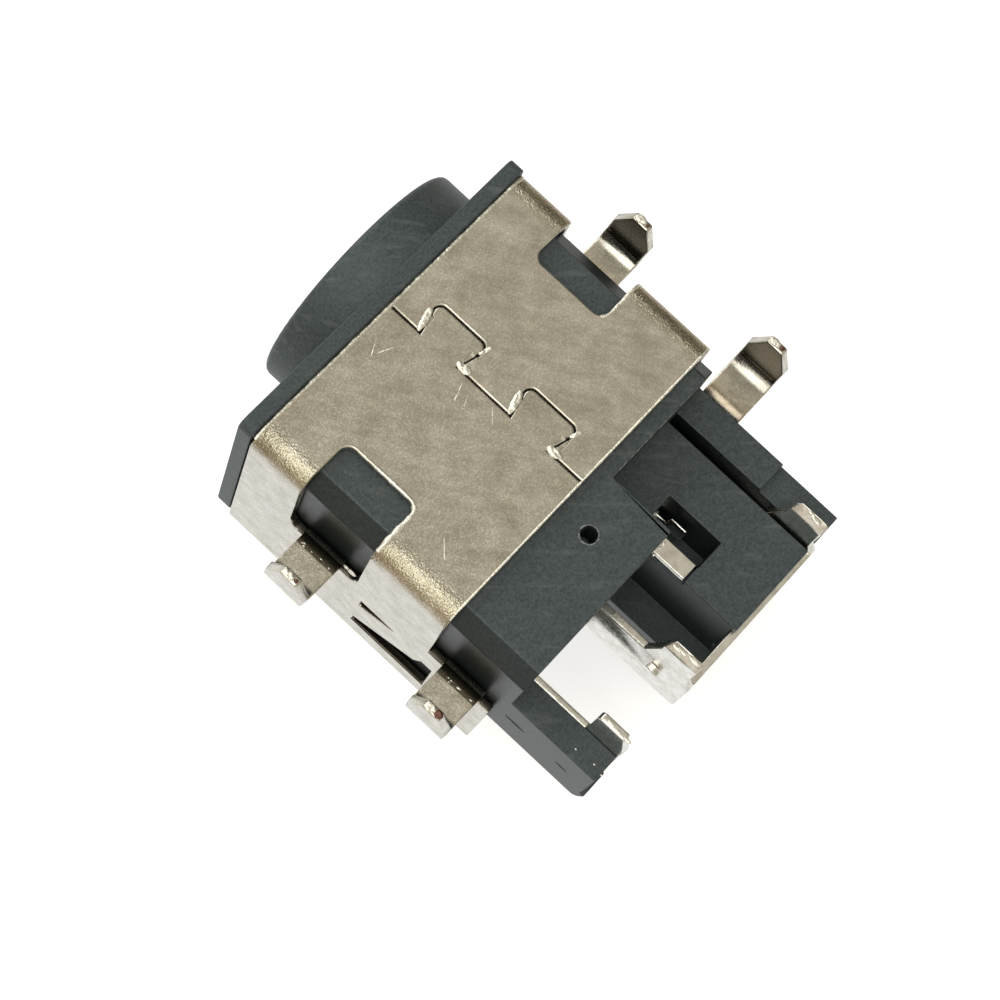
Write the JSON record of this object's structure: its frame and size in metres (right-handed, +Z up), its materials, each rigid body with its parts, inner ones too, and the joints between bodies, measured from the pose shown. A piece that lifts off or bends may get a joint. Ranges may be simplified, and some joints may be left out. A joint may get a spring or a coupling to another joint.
{
  "type": "dc barrel jack",
  "caption": "Shielded dc power socket for a laptop board: moulded body with an off-centre plug collar, folded metal shield on solder legs, centre pin and solder tails.",
  "frame": {"origin": "middle of the overall box in X and Y, at the bottom of the flange, which is the back face the socket rests on", "axes": "+Z up, away from the face it rests on and along the solder legs and tails; +Y in the direction the plug goes in, so the plug collar is at -Y and the solder tails are at +Y; +X to the side of the pin terminal's arm, away from the plug axis"},
  "size_m": [0.0158, 0.0162, 0.0085],
  "materials": {
    "housing": "fine matt texture",
    "shield": "nickel-plated sheet with a fine grain and light scratches",
    "pin": "nickel-plated, turned",
    "contact": "tin-plated strip"
  },
  "bodies": {
    "root": {"housing": "housing", "shield": "shield", "centre_pin": "pin", "sleeve_contact": "contact", "pin_terminal": "contact"}
  },
  "joints": []
}
